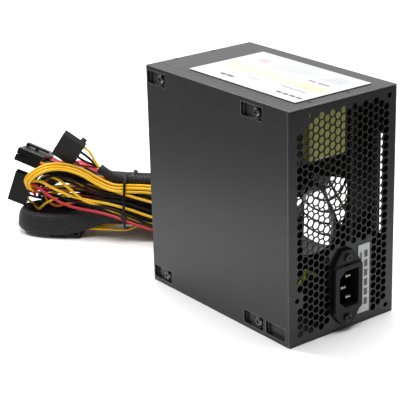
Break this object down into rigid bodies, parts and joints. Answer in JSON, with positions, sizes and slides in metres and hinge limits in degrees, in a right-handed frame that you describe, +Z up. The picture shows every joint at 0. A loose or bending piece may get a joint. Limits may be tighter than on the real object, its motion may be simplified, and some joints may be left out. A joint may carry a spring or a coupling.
{
  "type": "power supply unit",
  "caption": "Boxed desktop-computer power supply standing on its side, with a mains inlet, a rear grille panel, a side fan and a folded bundle of output cables.",
  "frame": {"origin": "middle of the unit's footprint on the floor, without its cables", "axes": "+Z up along the case's 150 mm side, +X towards the rear panel with the mains inlet, +Y towards the fan side"},
  "size_m": [0.3193, 0.1229, 0.1505],
  "materials": {
    "black_steel": "semi-gloss black powder coat",
    "bright_steel": "bright zinc-plated steel",
    "label_paper": "white printed label",
    "black_plastic": "satin black moulded plastic",
    "fan_plastic": "satin black moulded plastic",
    "brass": "plated brass",
    "board": "green soldermask on laminate",
    "aluminium": "plain folded aluminium",
    "galvanised_steel": "galvanised laminations",
    "yellow_tape": "yellow polyester tape",
    "capacitor_sleeve": "dark shrink sleeve",
    "film_capacitor": "yellow moulded case",
    "enamelled_copper": "enamelled copper winding",
    "fuse_glass": "clear glass tube",
    "earth_wire": "green and yellow insulation",
    "braided_sleeve": "black braided sleeving",
    "black_nylon": "black nylon"
  },
  "bodies": {
    "unit": {"chassis_shell": "black_steel", "rear_panel": "black_steel", "cover_shell": "black_steel", "inlet_screw_1": "black_steel", "inlet_screw_2": "black_steel", "cover_screw_1": "bright_steel", "cover_screw_2": "bright_steel", "cover_screw_3": "bright_steel", "cover_screw_4": "bright_steel", "fan_guard": "bright_steel", "fan_screw_1": "bright_steel", "fan_screw_2": "bright_steel", "fan_screw_3": "bright_steel", "fan_screw_4": "bright_steel", "board_screw_1": "bright_steel", "board_screw_2": "bright_steel", "board_screw_3": "bright_steel", "board_screw_4": "bright_steel", "rating_label": "label_paper", "voltage_label": "label_paper", "inlet_housing": "black_plastic", "cable_grommet": "black_plastic", "main_connector": "black_plastic", "cpu_connector": "black_plastic", "peripheral_connector": "black_plastic", "sata_connector_1": "black_plastic", "sata_connector_2": "black_plastic", "fan_frame": "fan_plastic", "inlet_pin_live": "brass", "inlet_pin_neutral": "brass", "inlet_pin_earth": "brass", "circuit_board": "board", "primary_heatsink": "aluminium", "secondary_heatsink": "aluminium", "pfc_choke_core": "galvanised_steel", "main_transformer": "yellow_tape", "standby_transformer": "yellow_tape", "pfc_choke_coil": "yellow_tape", "bulk_capacitor_1": "capacitor_sleeve", "bulk_capacitor_2": "capacitor_sleeve", "output_capacitor_1": "capacitor_sleeve", "output_capacitor_2": "capacitor_sleeve", "x_capacitor": "film_capacitor", "output_choke": "enamelled_copper", "line_filter_choke": "enamelled_copper", "fuse": "fuse_glass", "earth_wire": "earth_wire", "cable_trunk": "braided_sleeve", "cable_hank": "braided_sleeve", "main_lead": "braided_sleeve", "peripheral_lead": "braided_sleeve", "sata_lead_1": "braided_sleeve", "sata_lead_2": "braided_sleeve", "cpu_lead": "braided_sleeve", "cable_tie_1": "black_nylon", "cable_tie_2": "black_nylon"},
    "fan": {"fan_rotor": "fan_plastic"},
    "main_latch_lever": {"main_latch": "black_plastic"},
    "cpu_latch_lever": {"cpu_latch": "black_plastic"}
  },
  "joints": [
    {"name": "fan_spin", "type": "hinge", "parent": "unit", "child": "fan", "pos_m": [-0.00525, 0.0279, 0.083], "axis": [0, 1, 0], "continuous": true},
    {"name": "main_latch_pivot", "type": "hinge", "parent": "unit", "child": "main_latch_lever", "pos_m": [-0.22119, -0.04221, 0.05525], "axis": [-0.7213, 0.6374, -0.2711], "range_deg": [0, 7], "stiffness_Nm_per_rad": 0.02},
    {"name": "cpu_latch_pivot", "type": "hinge", "parent": "unit", "child": "cpu_latch_lever", "pos_m": [-0.21135, -0.00576, 0.01115], "axis": [-0.6691, 0.7431, 0], "range_deg": [0, 7], "stiffness_Nm_per_rad": 0.02}
  ]
}
